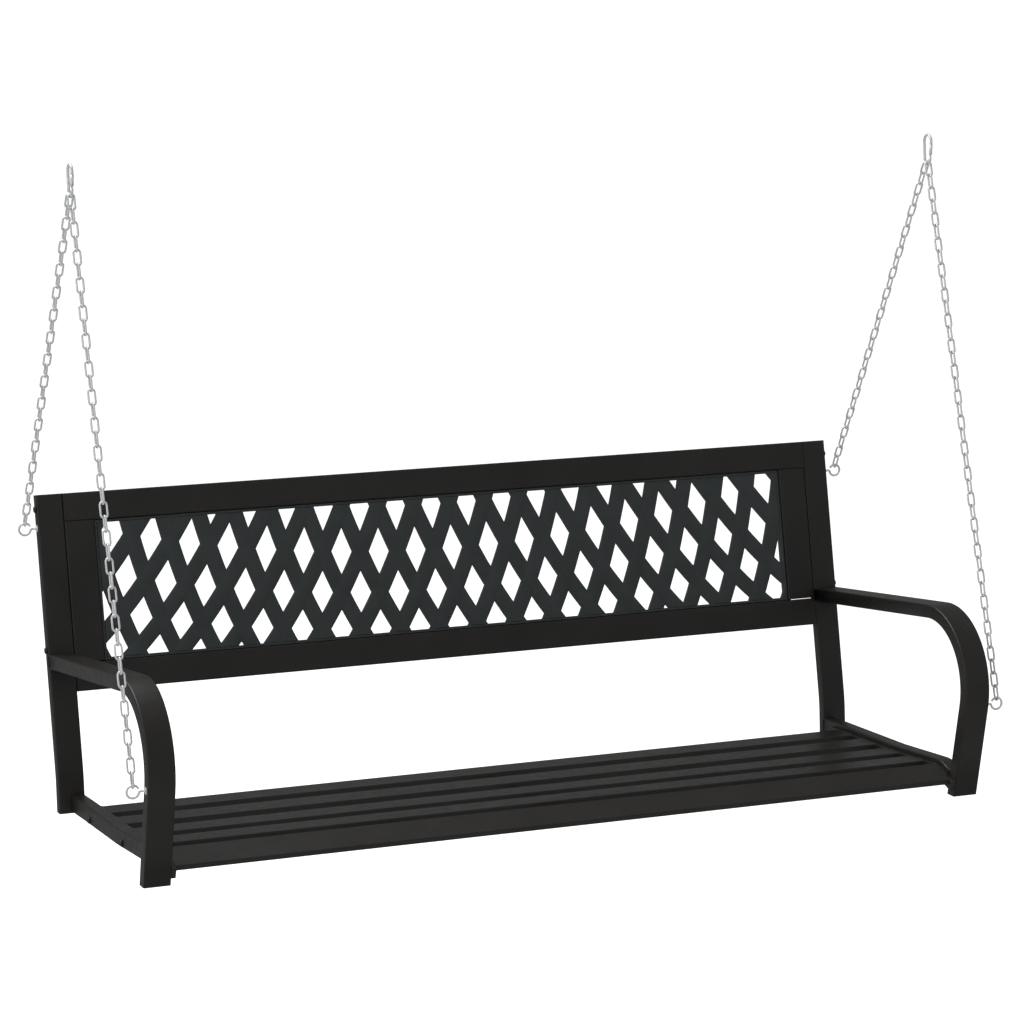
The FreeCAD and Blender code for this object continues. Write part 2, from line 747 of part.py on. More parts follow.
def link_at(side, axis, number):
    """Link of a chain, counted from 1 at the hook; odd links lie across the chain's plane."""
    if number == 1:
        centre_distance = first_end + link_straight / 2
    else:
        centre_distance = (first_end + link_straight * (number - 0.5)
                           + (link_inner_width - joint_play)
                           + (link_inner_width - link_play) * (number - 2))
    centre = hook_low + axis * centre_distance
    along_chain = axis
    across = Vector(1, 0, 0)
    flat = along_chain.cross(across)
    if number % 2 == 0:
        across, flat = flat, across * -1
    turn = FreeCAD.Rotation(across, flat, along_chain, "ZXY")
    copy = link_shape.copy()
    copy.Placement = FreeCAD.Placement(Vector(side * chain_x, centre.y, centre.z), turn)
    return copy


# ---- snap hooks -----------------------------------------------------------------------------
centre_rise = high_centre.z - hook_low.z
side_tilt = math.asin((hook_high_radius - hook_low_radius) / centre_rise)


def arc_point(centre, radius, degrees):
    """Point on a circle in the YZ plane, counted from straight down towards the back."""
    angle = math.radians(degrees)
    return centre + yz(radius * math.sin(angle), -radius * math.cos(angle))


def side_point(height, side):
    """Point of the hook's straight side, at a height over the narrow end's middle."""
    low = arc_point(hook_low, hook_low_radius, side * (90 - math.degrees(side_tilt)))
    high = arc_point(high_centre, hook_high_radius, side * (90 - math.degrees(side_tilt)))
    share = (height - (low.z - hook_low.z)) / (high.z - low.z)
    return low + (high - low) * share


lean_angle = 90 - math.degrees(side_tilt)
gate_pin = side_point(gate_low, -1)
gate_nose = side_point(gate_high, -1)
gate_axis = (gate_nose - gate_pin).normalize()
tongue_start = side_point(gate_low - tongue_radius - gate_radius, -1)


def snap_hook():
    """Pear-shaped body of bent wire: tongue, narrow bend, back, wide bend, nose."""
    low_a = arc_point(hook_low, hook_low_radius, -lean_angle)
    low_b = arc_point(hook_low, hook_low_radius, lean_angle)
    high_a = arc_point(high_centre, hook_high_radius, lean_angle)
    high_b = arc_point(high_centre, hook_high_radius, 360 - lean_angle)
    edges = [
        Part.LineSegment(tongue_start, low_a).toShape(),
        Part.Arc(low_a, arc_point(hook_low, hook_low_radius, 0), low_b).toShape(),
        Part.LineSegment(low_b, high_a).toShape(),
        Part.Arc(high_a, arc_point(high_centre, hook_high_radius, 180), high_b).toShape(),
        Part.LineSegment(high_b, gate_nose + gate_axis * gate_gap).toShape(),
    ]
    path = Part.Wire(edges)
    circle = Part.Wire(Part.makeCircle(hook_wire / 2, tongue_start, gate_axis))
    body = path.makePipeShell([circle], True, False)
    disc = x_cylinder(tongue_radius, -tongue_width / 2, tongue_width / 2, gate_pin.y, gate_pin.z)
    arm = Part.makeBox(tongue_width, 2 * tongue_radius,
                       (gate_pin - tongue_start).Length + tongue_root)
    arm.translate(Vector(-tongue_width / 2, -tongue_radius, -tongue_root))
    arm.rotate(Vector(0, 0, 0), Vector(1, 0, 0),
               -math.degrees(math.atan2(gate_axis.y, gate_axis.z)))
    arm.translate(tongue_start)
    hole = x_cylinder(pin_radius + pin_play, -hook_wire, hook_wire, gate_pin.y, gate_pin.z)
    return body.fuse([disc, arm]).cut(hole).removeSplitter()


def gate_tube():
    """Hollow gate on the pin: slotted over the tongue, closed where it meets the nose."""
    length = (gate_nose - gate_pin).Length
    slot_side = tongue_width / 2 + joint_play
    heel = tongue_radius + gate_heel_gap
    bore_start = heel + gate_plug
    outer = Part.makeCylinder(gate_radius, length)
    outer = outer.fuse(Part.makeSphere(gate_radius))
    bore = Part.makeCylinder(gate_radius - gate_wall, length - bore_start - gate_wall,
                             Vector(0, 0, bore_start))
    slot = Part.makeBox(2 * slot_side, 4 * gate_radius, heel + 2 * gate_radius,
                        Vector(-slot_side, -2 * gate_radius, -2 * gate_radius))
    hole = x_cylinder(pin_radius, -2 * gate_radius, 2 * gate_radius, 0, 0)
    return outer.cut([bore, slot, hole]).removeSplitter()


def gate_spring():
    """Coil inside the gate, between the tongue and the gate's closed end."""
    length = (gate_nose - gate_pin).Length
    start = tongue_radius + gate_heel_gap + gate_plug + spring_wire
    height = length - start - gate_wall - 2 * spring_wire
    radius = gate_radius - gate_wall - spring_wire
    helix = Part.makeHelix(height / spring_turns, height, radius)
    circle = Part.Wire(Part.makeCircle(spring_wire / 2, Vector(radius, 0, 0), Vector(0, 1, 0)))
    coil = Part.Wire(helix).makePipeShell([circle], True, True)
    coil.translate(Vector(0, 0, start))
    return coil


def on_gate(shape, side):
    """Moves a piece made about the origin and up Z onto a gate's pin and along its axis."""
    placed = shape.copy()
    placed.rotate(Vector(0, 0, 0), Vector(1, 0, 0),
                  -math.degrees(math.atan2(gate_axis.y, gate_axis.z)))
    placed.translate(Vector(side * chain_x, gate_pin.y, gate_pin.z))
    return placed


hook_shape = snap_hook()
gate_shape = gate_tube()
spring_shape = gate_spring()
pin_length = 2 * math.sqrt(gate_radius ** 2 - pin_radius ** 2)
pin_shape = x_cylinder(pin_radius, -pin_length / 2, pin_length / 2, 0, 0)

# ---- holes that the fasteners need ----------------------------------------------------------
through = half_length + insert_length
hole_radius = bolt_radius + bolt_clearance


def on_side(shape, side):
    """A piece made on the right, or its mirror image on the left."""
    return shape if side > 0 else mirrored(shape)


def side_holes(places, radius, x_from, x_to):
    return [x_cylinder(radius, side * x_from, side * x_to, at.y, at.z)
            for at in places for _, side in SIDES]


post_bolt_holes = side_holes(back_bolt_places, hole_radius, half_length - post_width - 1, through)
eye_post_holes = side_holes((eye_rear,), insert_radius, half_length - tube_wall - 1, through)
eye_arm_holes = side_holes((eye_front,), insert_radius, half_length - tube_wall - 1, through)
rail_bolt_holes = side_holes(seat_bolt_places, hole_radius, half_length - arm_width - 1, through)
bar_bolt_holes = side_holes(seat_bolt_places, bolt_radius, seat_bolt_inner - 2, through)
frame_bolt_holes = side_holes(back_bolt_places, bolt_radius, bolt_end - 2, frame_half + 1)

# ---- write every node -----------------------------------------------------------------------
for side_name, side in SIDES:
    export("post_" + side_name, on_side(post_tube, side).cut(post_bolt_holes + eye_post_holes))
    export("armrest_" + side_name, on_side(arm_tube, side).cut(eye_arm_holes))
    export("seat_rail_" + side_name, on_side(rail_tube, side).cut(rail_bolt_holes))
    export("back_stile_" + side_name, stile(side).cut(frame_bolt_holes))
    export("seat_end_bar_" + side_name,
           on_side(seat_end_bar, side).cut(bar_bolt_holes))
    export("back_bolts_" + side_name, Part.makeCompound([
        side_bolt(side, half_length, bolt_end, at.y, at.z) for at in back_bolt_places]))
    export("seat_bolts_" + side_name, Part.makeCompound([
        side_bolt(side, seat_bolt_outer, seat_bolt_inner, at.y, at.z)
        for at in seat_bolt_places]))
    export("snap_hook_" + side_name, moved(hook_shape, side * chain_x))
    export("gate_" + side_name, on_gate(gate_shape, side))
    export("gate_pin_" + side_name, on_gate(pin_shape, side))
    export("gate_spring_" + side_name, on_gate(spring_shape, side))
    export("top_links_" + side_name,
           Part.makeCompound([link_at(side, front_axis, 1), link_at(side, rear_axis, 1)]))
    for place_name, eye_place, axis, count in (("front", eye_front, front_axis, front_links),
                                               ("rear", eye_rear, rear_axis, rear_links)):
        export("eye_hook_" + place_name + "_" + side_name, eye_hook(side, eye_place))
        export("chain_" + place_name + "_" + side_name, Part.makeCompound(
            [link_at(side, axis, number) for number in range(2, count + 1)]))

export("top_rail", top_rail)
export("bottom_rail", bottom_rail)
export("rail_end_plates", Part.makeCompound([
    rail_end_plate(side, drop).cut(frame_bolt_holes)
    for drop in (top_plate_drop, bottom_plate_drop) for _, side in SIDES]))
export("back_lattice", lattice)
export("panel_screws", Part.makeCompound(screws))
for number, piece in enumerate(slats, 1):
    export("seat_slat_" + str(number), piece)
export("front_slat", front_slat)
export("seat_centre_bar", seat_centre_bar)
export("eye_inserts", Part.makeCompound([
    eye_insert(side, at) for at in (eye_front, eye_rear) for _, side in SIDES]))
for name, cap in (("post_top_caps", post_top_cap), ("post_foot_caps", post_foot_cap),
                  ("leg_foot_caps", leg_foot_cap)):
    export(name, Part.makeCompound([on_side(cap, side) for _, side in SIDES]))
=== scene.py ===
"""Porch swing: the looks of a powder-coated steel bench with a moulded lattice back, on its chains.

Metres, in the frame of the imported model: +X along the bench, +Y to its back, +Z up, origin midway
between the two snap hooks. The sections follow the swing as it is put together.
"""
import json
import math

import bmesh
import bpy
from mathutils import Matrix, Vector


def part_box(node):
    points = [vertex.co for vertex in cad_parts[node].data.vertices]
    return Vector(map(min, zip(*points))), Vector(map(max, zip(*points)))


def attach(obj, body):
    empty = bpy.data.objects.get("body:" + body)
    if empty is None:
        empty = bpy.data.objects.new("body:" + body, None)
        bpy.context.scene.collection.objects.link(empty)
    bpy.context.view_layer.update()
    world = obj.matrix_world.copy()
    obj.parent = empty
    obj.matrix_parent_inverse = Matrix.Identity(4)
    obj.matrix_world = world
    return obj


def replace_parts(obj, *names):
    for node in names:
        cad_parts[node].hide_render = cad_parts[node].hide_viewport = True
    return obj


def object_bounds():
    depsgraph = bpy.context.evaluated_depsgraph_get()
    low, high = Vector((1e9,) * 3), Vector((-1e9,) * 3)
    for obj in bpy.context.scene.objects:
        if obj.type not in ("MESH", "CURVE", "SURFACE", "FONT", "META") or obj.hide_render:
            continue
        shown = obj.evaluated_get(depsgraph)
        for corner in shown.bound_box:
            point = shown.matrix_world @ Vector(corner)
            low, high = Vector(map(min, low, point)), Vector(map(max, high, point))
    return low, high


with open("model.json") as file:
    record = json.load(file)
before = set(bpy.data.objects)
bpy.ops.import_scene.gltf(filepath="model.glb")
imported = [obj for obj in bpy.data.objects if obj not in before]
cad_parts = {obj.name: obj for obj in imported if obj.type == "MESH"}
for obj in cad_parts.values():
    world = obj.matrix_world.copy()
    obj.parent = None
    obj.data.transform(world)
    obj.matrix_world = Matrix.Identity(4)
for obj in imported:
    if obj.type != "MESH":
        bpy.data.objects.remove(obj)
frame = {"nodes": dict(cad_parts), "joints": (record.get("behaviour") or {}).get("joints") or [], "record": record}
cad_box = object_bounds()
nodes = frame["nodes"]

# ---- side frames ----------------------------------------------------------------------------
# Each end of the bench is a rear post, an armrest and front leg bent from one tube, and a side
# rail, all of thin steel tube welded together and powder coated satin black.


def new_node(tree, kind, inputs=(), **settings):
    """Node of a tree. Its inputs are given by name or number, as a value or as a socket to link."""
    node = tree.nodes.new(kind)
    for name, value in settings.items():
        setattr(node, name, value)
    for name, value in dict(inputs).items():
        if isinstance(value, bpy.types.NodeSocket):
            tree.links.new(value, node.inputs[name])
        else:
            node.inputs[name].default_value = value
    return node


def new_material(name):
    """Empty material with its node tree, its surface shader and the object's coordinates."""
    material = bpy.data.materials.new(name)
    material.use_nodes = True
    tree = material.node_tree
    shader = next(n for n in tree.nodes if n.type == "BSDF_PRINCIPLED")
    place = new_node(tree, "ShaderNodeTexCoord").outputs["Object"]
    return material, tree, shader, place


# the values between which most of a noise lies, and a mix node's sockets for colours
noise_low, noise_high = 0.3, 0.7
colour_a, colour_b, mixed_colour = 6, 7, 2


def speckle(tree, place, scale, detail, low=0.0, high=1.0):
    """Noise between two values, its grains 1/scale metres apart."""
    noise = new_node(tree, "ShaderNodeTexNoise",
                     {"Vector": place, "Scale": scale, "Detail": detail})
    spread = new_node(tree, "ShaderNodeMapRange", {
        "Value": noise.outputs["Fac"], "From Min": noise_low, "From Max": noise_high,
        "To Min": low, "To Max": high})
    return spread.outputs["Result"]


def two_tone(tree, fac, first, second):
    """Colour that goes from the first to the second as the factor goes from 0 to 1."""
    mix = new_node(tree, "ShaderNodeMix", {"Factor": fac}, data_type="RGBA")
    mix.inputs[colour_a].default_value = first
    mix.inputs[colour_b].default_value = second
    return mix.outputs[mixed_colour]


def relief(tree, height, depth, under=None):
    """Normal of a surface with bumps of a depth in metres, over another normal if one is given."""
    inputs = {"Height": height, "Distance": depth, "Strength": 1.0}
    if under is not None:
        inputs["Normal"] = under
    return new_node(tree, "ShaderNodeBump", inputs).outputs["Normal"]


coat_dark = (0.0082, 0.0072, 0.0063, 1)
coat_light = (0.0112, 0.0100, 0.0088, 1)
powder_coat, tree, shader, place = new_material("powder_coat")
cloud = speckle(tree, place, 9.0, 3.0)
peel = speckle(tree, place, 520.0, 2.0)
grain = speckle(tree, place, 2600.0, 1.0)
tree.links.new(two_tone(tree, cloud, coat_dark, coat_light), shader.inputs["Base Color"])
tree.links.new(speckle(tree, place, 60.0, 4.0, 0.36, 0.46), shader.inputs["Roughness"])
peel_normal = relief(tree, peel, 0.00006)
tree.links.new(relief(tree, grain, 0.00001, peel_normal), shader.inputs["Normal"])
shader.inputs["IOR"].default_value = 1.5


def one_finish(mesh, material):
    """Leaves a mesh one material, on all its faces."""
    mesh.materials.clear()
    mesh.materials.append(material)
    mesh.polygons.foreach_set("material_index", [0] * len(mesh.polygons))


def dress(node_name, material):
    """Gives a CAD node its finish."""
    one_finish(nodes[node_name].data, material)


def shade_smooth(mesh, sharp):
    """Shades a mesh smoothly, but for edges that bend by more than some degrees."""
    for polygon in mesh.polygons:
        polygon.use_smooth = True
    mesh.set_sharp_from_angle(angle=math.radians(sharp))


def new_piece(name, mesh, body):
    """New object of the scene that rides on a body."""
    piece = bpy.data.objects.new(name, mesh)
    bpy.context.scene.collection.objects.link(piece)
    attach(piece, body)
    return piece


body_of_node = {name: body for body, names in frame["record"]["behaviour"]["bodies"].items()
                for name in names}


copy_merge = 0.000002        # points of a CAD mesh closer than this are one
copy_sharp = 40.0            # degrees


def smooth_copy(node_name, material):
    """Stands a copy with joined, smoothly shaded faces in a CAD node's place."""
    joined = bmesh.new()
    joined.from_mesh(nodes[node_name].data)
    bmesh.ops.remove_doubles(joined, verts=joined.verts[:], dist=copy_merge)
    mesh = bpy.data.meshes.new(node_name + "_smooth")
    joined.to_mesh(mesh)
    joined.free()
    shade_smooth(mesh, copy_sharp)
    one_finish(mesh, material)
    piece = new_piece(node_name + "_smooth", mesh, body_of_node[node_name])
    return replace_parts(piece, node_name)


for side in ("left", "right"):
    for name in ("post_", "armrest_", "seat_rail_"):
        smooth_copy(name + side, powder_coat)

# ---- back frame -----------------------------------------------------------------------------
# Two rails and two stiles of flat tube, their open ends closed by thin plates, coated like the
# side frames and bolted between the posts.
for name in ("top_rail", "bottom_rail", "rail_end_plates", "back_stile_left", "back_stile_right"):
    dress(name, powder_coat)

# ---- seat -----------------------------------------------------------------------------------
# Five flat oval tubes lie across the seat, welded at their ends to flat bars on edge and under
# their middle to a third bar, and coated in one go with them.
slats = ("seat_slat_1", "seat_slat_2", "seat_slat_3", "seat_slat_4", "front_slat")
for name in slats + ("seat_centre_bar", "seat_end_bar_left", "seat_end_bar_right"):
    dress(name, powder_coat)

# ---- welds ----------------------------------------------------------------------------------
# A thin bead of weld runs round each end of the armrests, the side rails and the slats, where
# they meet the posts, legs and end bars, under the coat, with the ripples of a hand-laid bead.
bead_radius = 0.0013
bead_step = 0.0012
slat_bead_radius = 0.8 * bead_radius
slat_bead_step = 1.3 * bead_step
cut_flatness = 0.0004        # points this near to a tube's end belong to its cut
least_size, most_size = 2, 3  # sockets of the random node


def new_tree(name, sockets):
    """Geometry tree with a geometry output and the named inputs, as (name, kind, value)."""
    tree = bpy.data.node_groups.new(name, "GeometryNodeTree")
    tree.interface.new_socket("Geometry", in_out="INPUT", socket_type="NodeSocketGeometry")
    for label, kind, value in sockets:
        socket = tree.interface.new_socket(label, in_out="INPUT", socket_type=kind)
        if value is not None:
            socket.default_value = value
    tree.interface.new_socket("Geometry", in_out="OUTPUT", socket_type="NodeSocketGeometry")
    return tree, tree.nodes.new("NodeGroupInput").outputs


def end_tree(tree, geometry, material):
    """Ends a tree: its instances made real, with one material."""
    real = new_node(tree, "GeometryNodeRealizeInstances", {"Geometry": geometry})
    coated = new_node(tree, "GeometryNodeSetMaterial",
                      {"Geometry": real.outputs[0], "Material": material})
    new_node(tree, "NodeGroupOutput", {"Geometry": coated.outputs[0]})


def grow(tree, name, values, start=None):
    """Mesh that a geometry tree makes from a starting mesh and the values of its named inputs."""
    holder = bpy.data.objects.new(name + "_maker", start or bpy.data.meshes.new(name + "_start"))
    bpy.context.scene.collection.objects.link(holder)
    modifier = holder.modifiers.new("make", "NODES")
    modifier.node_group = tree
    for item in tree.interface.items_tree:
        if item.in_out == "INPUT" and item.name in values:
            modifier[item.identifier] = values[item.name]
    holder.update_tag()
    bpy.context.view_layer.update()
    depsgraph = bpy.context.evaluated_depsgraph_get()
    mesh = bpy.data.meshes.new_from_object(holder.evaluated_get(depsgraph), depsgraph=depsgraph)
    holder.modifiers.clear()
    bpy.data.objects.remove(holder)
    mesh.name = name
    one_finish(mesh, values["Material"])
    return mesh


def turned_hull(points, across, up):
    """The points on the outside of a flat set of points, in order round it."""
    flat = sorted({(round(p.dot(across), 6), round(p.dot(up), 6)): p for p in points}.items())
    loop = []
    for row in (flat, flat[::-1]):
        chain = []
        for (a, b), p in row:
            while len(chain) > 1:
                (a1, b1), (a2, b2) = chain[-2][0], chain[-1][0]
                if (a2 - a1) * (b - b1) - (b2 - b1) * (a - a1) > 0:
                    break
                chain.pop()
            chain.append(((a, b), p))
        loop += [p for _, p in chain[:-1]]
    return loop


def cut_end(node_name, ahead, across=Vector((1, 0, 0))):
    """Outline of the flat end of a tube: its farthest points in a direction, in order."""
    points = [v.co.copy() for v in nodes[node_name].data.vertices]
    farthest = max(p.dot(ahead) for p in points)
    flat = [p for p in points if farthest - p.dot(ahead) < cut_flatness]
    return turned_hull(flat, across, across.cross(ahead))


def loops_mesh(name, loops):
    """Mesh of closed loops of edges."""
    points, edges = [], []
    for loop in loops:
        first = len(points)
        points += loop
        count = len(loop)
        edges += [(first + i, first + (i + 1) % count) for i in range(count)]
    mesh = bpy.data.meshes.new(name)
    mesh.from_pydata(points, edges, [])
    return mesh


tree, given = new_tree("weld_bead", [
    ("Radius", "NodeSocketFloat", bead_radius), ("Step", "NodeSocketFloat", bead_step),
    ("Material", "NodeSocketMaterial", None)])
line = new_node(tree, "GeometryNodeMeshToCurve", {"Mesh": given["Geometry"]})
spots = new_node(tree, "GeometryNodeCurveToPoints",
                 {"Curve": line.outputs[0], "Length": given["Step"]}, mode="LENGTH")
ripple = new_node(tree, "GeometryNodeMeshUVSphere",
                  {"Segments": 8, "Rings": 5, "Radius": given["Radius"]})
soft = new_node(tree, "GeometryNodeSetShadeSmooth", {"Geometry": ripple.outputs[0]})
size = new_node(tree, "FunctionNodeRandomValue",
                {least_size: 0.85, most_size: 1.1, "Seed": 4}, data_type="FLOAT")
beads = new_node(tree, "GeometryNodeInstanceOnPoints",
                 {"Points": spots.outputs["Points"], "Instance": soft.outputs[0],
                  "Scale": size.outputs[1]})
end_tree(tree, beads.outputs[0], given["Material"])

post_lean = math.radians(12.0)
post_foot_lean = math.radians(4.0)
leg_lean = math.radians(12.0)
ends = []
for side in ("left", "right"):
    ends.append(cut_end("armrest_" + side, Vector((0, math.cos(post_lean), -math.sin(post_lean)))))
    ends.append(cut_end("seat_rail_" + side,
                        Vector((0, math.cos(post_foot_lean), -math.sin(post_foot_lean)))))
    ends.append(cut_end("seat_rail_" + side, Vector((0, -math.cos(leg_lean), -math.sin(leg_lean)))))
weld_mesh = grow(tree, "frame_welds", {"Radius": bead_radius, "Step": bead_step,
                                       "Material": powder_coat}, loops_mesh("weld_lines", ends))
new_piece("frame_welds", weld_mesh, "bench")
slat_ends = [cut_end(name, Vector((way, 0, 0)), Vector((0, 1, 0)))
             for way in (-1, 1) for name in slats]
slat_weld_mesh = grow(tree, "slat_welds", {"Radius": slat_bead_radius, "Step": slat_bead_step,
                                           "Material": powder_coat},
                      loops_mesh("slat_weld_lines", slat_ends))
new_piece("slat_welds", slat_weld_mesh, "bench")

# ---- caps -----------------------------------------------------------------------------------
# Moulded black plastic caps close the posts' tops and all four feet, pressed into the tubes.


def spotted_finish(name, dark, light, tone, rough, bump, bump_depth, metallic=0.0):
    """Material of two near tones. Tone, roughness and bump are the settings of their speckles."""
    material, tree, shader, place = new_material(name)
    colour = two_tone(tree, speckle(tree, place, *tone), dark, light)
    tree.links.new(colour, shader.inputs["Base Color"])
    tree.links.new(speckle(tree, place, *rough), shader.inputs["Roughness"])
    tree.links.new(relief(tree, speckle(tree, place, *bump), bump_depth), shader.inputs["Normal"])
    shader.inputs["Metallic"].default_value = metallic
    return material


cap_plastic = spotted_finish("cap_plastic", (0.010, 0.010, 0.010, 1), (0.016, 0.016, 0.016, 1),
                             (40.0, 3.0), (300.0, 3.0, 0.52, 0.64), (1500.0, 2.0), 0.00004)
for name in ("post_top_caps", "post_foot_caps", "leg_foot_caps"):
    dress(name, cap_plastic)

# ---- lattice panel --------------------------------------------------------------------------
# The back is one moulding of dark plastic: two sets of crowned straps that seem to pass over and
# under each other, in a narrow border that sits between the rails and stiles.
half_pitch = 0.0359
row_step = 0.078
row_growth = 0.0079
strap_width = 0.0285
fan_radius = 2.783
middle_row = 0.1505          # above the bottom rail
opening = 0.249
panel_fit = 0.0003
border = 0.0055
panel_depth = 0.008
recess = 0.0035
rail_depth = 0.020
hole_share = 1 - strap_width / 2 * math.hypot(half_pitch, row_step) / (half_pitch * row_step)
strap_share = 1 - hole_share
lines_on_strap = 14
lines_on_hole = 4
crown = 0.0017               # the strap's middle above its edges
crown_power = 3.0            # the higher, the flatter the strap's middle
weave = 0.0012               # a strap that passes over, above one that passes under
columns = 21                 # half columns to each side of the middle
rows_down, rows_up = 5, 2
least_hole = 0.006           # a cut-off hole narrower than this is left solid
line_slack = 0.01            # of a grid line, against rounding when the lines are numbered
edge_slack = 1.001           # a strap ends just past this many half widths
lattice_sharp = 38.0         # degrees

# the panel's own axes, from the stile that it stands between
stile_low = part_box("back_stile_right")[0]
panel_half = stile_low.x - panel_fit
up_axis = Vector((0, math.sin(post_lean), math.cos(post_lean)))
back_axis = Vector((0, math.cos(post_lean), -math.sin(post_lean)))
rail_points = [v.co for v in nodes["bottom_rail"].data.vertices]
rail_top = max(p.dot(up_axis) for p in rail_points)
rail_front = min(p.dot(back_axis) for p in rail_points)


def on_panel(x, s, depth):
    """Point of the panel: along the bench, up from the bottom rail, and behind its front face."""
    return (Vector((x, 0, 0)) + up_axis * (rail_top + s)
            + back_axis * (rail_front + recess + depth))


def calculate(tree, operation, a, b=0.0):
    """Result of a sum in a tree, of sockets or plain numbers."""
    return new_node(tree, "ShaderNodeMath", {0: a, 1: b}, operation=operation).outputs[0]


# one strap and one hole take this many lines of the grid that the straps are made from
period = lines_on_strap + lines_on_hole
reach = columns + rows_down
grid_periods = reach + 1
grid_lines = grid_periods * period + 1
tree, given = new_tree("lattice_straps", [
    ("Half pitch", "NodeSocketFloat", half_pitch), ("Row step", "NodeSocketFloat", row_step),
    ("Row growth", "NodeSocketFloat", row_growth), ("Fan radius", "NodeSocketFloat", fan_radius),
    ("Strap share", "NodeSocketFloat", strap_share), ("Crown", "NodeSocketFloat", crown),
    ("Weave", "NodeSocketFloat", weave), ("Material", "NodeSocketMaterial", None)])
grid = new_node(tree, "GeometryNodeMeshGrid", {
    "Size X": grid_lines - 1.0, "Size Y": grid_lines - 1.0,
    "Vertices X": grid_lines, "Vertices Y": grid_lines})
where = new_node(tree, "GeometryNodeInputPosition").outputs[0]
apart = new_node(tree, "ShaderNodeSeparateXYZ", {0: where}).outputs


def strap_place(tree, line):
    """From the number of a grid line to where it lies: straps centred on the odd numbers."""
    count = calculate(tree, "ADD", line, (grid_lines - 1) / 2)
    past = calculate(tree, "ADD", count, line_slack)
    whole = calculate(tree, "FLOOR", calculate(tree, "DIVIDE", past, float(period)))
    part = calculate(tree, "SUBTRACT", count, calculate(tree, "MULTIPLY", whole, float(period)))
    on_strap = calculate(tree, "MINIMUM", part, float(lines_on_strap))
    on_hole = calculate(tree, "MAXIMUM",
                        calculate(tree, "SUBTRACT", part, float(lines_on_strap)), 0.0)
    strap_part = calculate(tree, "MULTIPLY", calculate(tree, "DIVIDE", on_strap,
                                                       lines_on_strap / 2), given["Strap share"])
    hole_width = calculate(tree, "SUBTRACT", 1.0, given["Strap share"])
    hole_part = calculate(tree, "MULTIPLY",
                          calculate(tree, "DIVIDE", on_hole, lines_on_hole / 2), hole_width)
    across = calculate(tree, "ADD", strap_part, hole_part)
    across = calculate(tree, "SUBTRACT", across, given["Strap share"])
    base = calculate(tree, "MULTIPLY", whole, 2.0)
    first = 1.0 - 2 * (grid_periods // 2)
    return calculate(tree, "ADD", calculate(tree, "ADD", base, across), first), part, across


a, part_a, across_a = strap_place(tree, apart["X"])
b, part_b, across_b = strap_place(tree, apart["Y"])


def half_turns(tree, value):
    """A number of quarter circles as an angle, so that even numbers are half turns."""
    return calculate(tree, "MULTIPLY", value, math.pi / 2)


def bar_height(tree, across, along, other_way):
    """Height of a strap: crowned across, and waving over and under along its length."""
    share = calculate(tree, "DIVIDE", across, given["Strap share"])
    rounded = calculate(tree, "POWER", calculate(tree, "ABSOLUTE", share), crown_power)
    fallen = calculate(tree, "MULTIPLY", rounded, given["Crown"])
    # beside the strap it drops by a metre, so that the strap of the other set is the higher one
    outside = calculate(tree, "GREATER_THAN", calculate(tree, "ABSOLUTE", share), edge_slack)
    fallen = calculate(tree, "ADD", fallen, outside)
    wave = calculate(tree, "MULTIPLY", along, other_way)
    wave = calculate(tree, "MULTIPLY", wave, calculate(tree, "MULTIPLY", given["Weave"], 0.5))
    return calculate(tree, "SUBTRACT", wave, fallen)


# the wave is +1 on a strap where it passes over and -1 where it passes under
phase = calculate(tree, "MULTIPLY", calculate(tree, "SINE", half_turns(tree, a)),
                  calculate(tree, "SINE", half_turns(tree, b)))
height_a = bar_height(tree, across_a, phase, 1.0)
height_b = bar_height(tree, across_b, phase, -1.0)
height = calculate(tree, "MAXIMUM", height_a, height_b)
column = calculate(tree, "DIVIDE", calculate(tree, "ADD", a, b), 2.0)
row = calculate(tree, "DIVIDE", calculate(tree, "SUBTRACT", a, b), 2.0)
rise = calculate(tree, "ADD", calculate(tree, "MULTIPLY", row, given["Row step"]),
                 calculate(tree, "MULTIPLY", calculate(tree, "MULTIPLY", row, row),
                           calculate(tree, "MULTIPLY", given["Row growth"], 0.5)))
angle = calculate(tree, "DIVIDE", calculate(tree, "MULTIPLY", column, given["Half pitch"]),
                  given["Fan radius"])
radius = calculate(tree, "SUBTRACT", given["Fan radius"], rise)
along_x = calculate(tree, "MULTIPLY", radius, calculate(tree, "SINE", angle))
along_s = calculate(tree, "SUBTRACT", given["Fan radius"],
                    calculate(tree, "MULTIPLY", radius, calculate(tree, "COSINE", angle)))
fan_place = new_node(tree, "ShaderNodeCombineXYZ", {0: along_x, 1: along_s, 2: height})
in_hole_a = calculate(tree, "GREATER_THAN", part_a, float(lines_on_strap))
in_hole_b = calculate(tree, "GREATER_THAN", part_b, float(lines_on_strap))
far_row = calculate(tree, "MAXIMUM", calculate(tree, "GREATER_THAN", row, float(rows_up)),
                    calculate(tree, "LESS_THAN", row, -float(rows_down)))
far_column = calculate(tree, "GREATER_THAN", calculate(tree, "ABSOLUTE", column), float(columns))
lost = calculate(tree, "MAXIMUM", calculate(tree, "MULTIPLY", in_hole_a, in_hole_b),
                 calculate(tree, "MAXIMUM", far_row, far_column))
stored = new_node(tree, "GeometryNodeStoreNamedAttribute", {
    "Geometry": grid.outputs["Mesh"], "Name": "strap_place",
    "Value": new_node(tree, "ShaderNodeCombineXYZ", {0: a, 1: b, 2: 0.0}).outputs[0]},
    data_type="FLOAT_VECTOR", domain="POINT")
lost_kept = new_node(tree, "GeometryNodeStoreNamedAttribute", {
    "Geometry": stored.outputs[0], "Name": "lost", "Value": lost}, data_type="FLOAT", domain="FACE")
